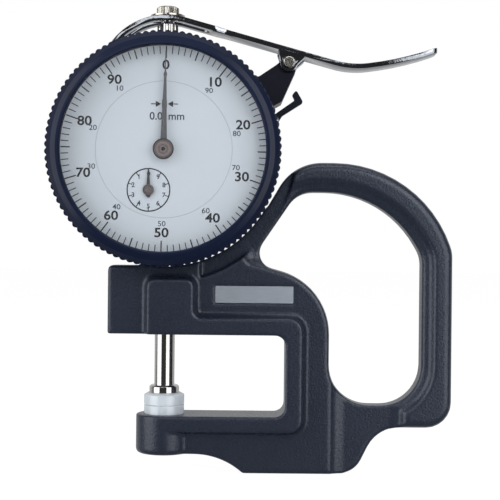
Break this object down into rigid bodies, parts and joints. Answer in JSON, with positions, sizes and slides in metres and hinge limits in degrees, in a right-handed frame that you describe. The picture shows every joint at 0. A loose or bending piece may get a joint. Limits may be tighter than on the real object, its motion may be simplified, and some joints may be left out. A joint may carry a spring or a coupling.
{
  "type": "dial thickness gauge",
  "caption": "Hand-held dial thickness gauge: deep cast C-frame with a loop handle, ceramic anvil and tip, knurled dial indicator and a forked lifting lever.",
  "frame": {"origin": "centre of the anvil's measuring face", "axes": "+Z along the spindle, away from the anvil; the dial faces -Y; the handle is on +X"},
  "size_m": [0.0997, 0.0245, 0.1156],
  "materials": {
    "frame_paint": "fine-textured slate grey paint on a casting",
    "black_paint": "satin navy-black paint",
    "ceramic": "lapped white ceramic",
    "steel": "ground steel",
    "black_steel": "black oxide steel",
    "spring_steel": "drawn spring wire",
    "plate_aluminium": "satin bare plate",
    "brass": "rolled brass",
    "ruby": "polished bearing stone",
    "dial_white": "matt silver-white dial",
    "ink": "printed dark ink",
    "hand_grey": "dark grey hands",
    "chrome": "polished plated strip",
    "nickel": "nickel plated knurl",
    "crystal_clear": "clear flat window",
    "gasket_rubber": "black rubber"
  },
  "bodies": {
    "gauge_frame": {"frame_casting": "frame_paint", "anvil_tip": "ceramic", "anvil_shank": "steel", "stem_clamp_screw": "black_steel", "label_plate": "plate_aluminium", "indicator_case": "black_paint", "stem": "steel", "upper_guide_bush": "steel", "back_cover": "black_paint", "back_cover_gasket": "gasket_rubber", "back_cover_screws": "steel", "movement_plate": "brass", "front_bridge": "brass", "rear_bridge": "brass", "movement_pillars": "steel", "movement_screws": "steel", "jewel_bearings": "ruby", "dial_disc": "dial_white", "counter_marks": "ink", "return_spring": "spring_steel", "spring_post": "steel", "hairspring": "spring_steel", "hairspring_stud": "steel", "guide_plate": "steel", "bezel_spring_ring": "spring_steel", "lever_bracket": "black_paint", "bracket_screws": "steel", "lever_pivot_pin": "steel", "clamp_screw": "steel"},
    "spindle_group": {"spindle": "steel", "contact_holder": "steel", "contact_tip": "ceramic", "lift_knob": "nickel", "guide_pin": "steel"},
    "bezel_group": {"bezel": "black_paint", "crystal": "crystal_clear", "crystal_gasket": "gasket_rubber", "dial_ring": "dial_white", "dial_marks": "ink"},
    "pointer_group": {"pointer": "hand_grey", "pointer_arbor": "steel"},
    "counter_group": {"counter_hand": "hand_grey", "counter_arbor": "steel", "counter_wheel": "brass"},
    "takeup_group": {"takeup_wheel": "brass", "takeup_arbor": "steel"},
    "lever_group": {"lifting_lever": "chrome"},
    "clamp_group": {"bezel_clamp": "black_paint"}
  },
  "joints": [
    {"name": "spindle_slide", "type": "slide", "parent": "gauge_frame", "child": "spindle_group", "axis": [0, 0, 1], "range_m": [0, 0.01], "stiffness_N_per_m": 40, "springref_m": -0.02, "deforming": ["return_spring"]},
    {"name": "bezel_turn", "type": "hinge", "parent": "gauge_frame", "child": "bezel_group", "pos_m": [0, -0.011, 0.0628], "axis": [0, 1, 0], "continuous": true},
    {"name": "pointer_turn", "type": "hinge", "parent": "gauge_frame", "child": "pointer_group", "pos_m": [0, -0.006, 0.0628], "axis": [0, 1, 0], "range_deg": [-5, 3605]},
    {"name": "counter_turn", "type": "hinge", "parent": "gauge_frame", "child": "counter_group", "pos_m": [-0.00359, -0.003, 0.05299], "axis": [0, 1, 0], "range_deg": [-365, 5]},
    {"name": "takeup_turn", "type": "hinge", "parent": "gauge_frame", "child": "takeup_group", "pos_m": [0.00359, -0.0055, 0.07261], "axis": [0, 1, 0], "range_deg": [-365, 5]},
    {"name": "lever_lift", "type": "hinge", "parent": "gauge_frame", "child": "lever_group", "pos_m": [0.0303, 0, 0.0851], "axis": [0, 1, 0], "range_deg": [0, 18.75]},
    {"name": "clamp_swing", "type": "hinge", "parent": "gauge_frame", "child": "clamp_group", "pos_m": [0.02669, -0.0066, 0.0704], "axis": [0, 1, 0], "range_deg": [0, 12]}
  ],
  "couplings": [
    {"joint": "counter_turn", "follows": "spindle_slide", "rad_per_m": -628.32},
    {"joint": "pointer_turn", "follows": "spindle_slide", "rad_per_m": 6283.2},
    {"joint": "takeup_turn", "follows": "spindle_slide", "rad_per_m": -628.32},
    {"joint": "lever_lift", "follows": "spindle_slide", "rad_per_m": 32.64}
  ]
}
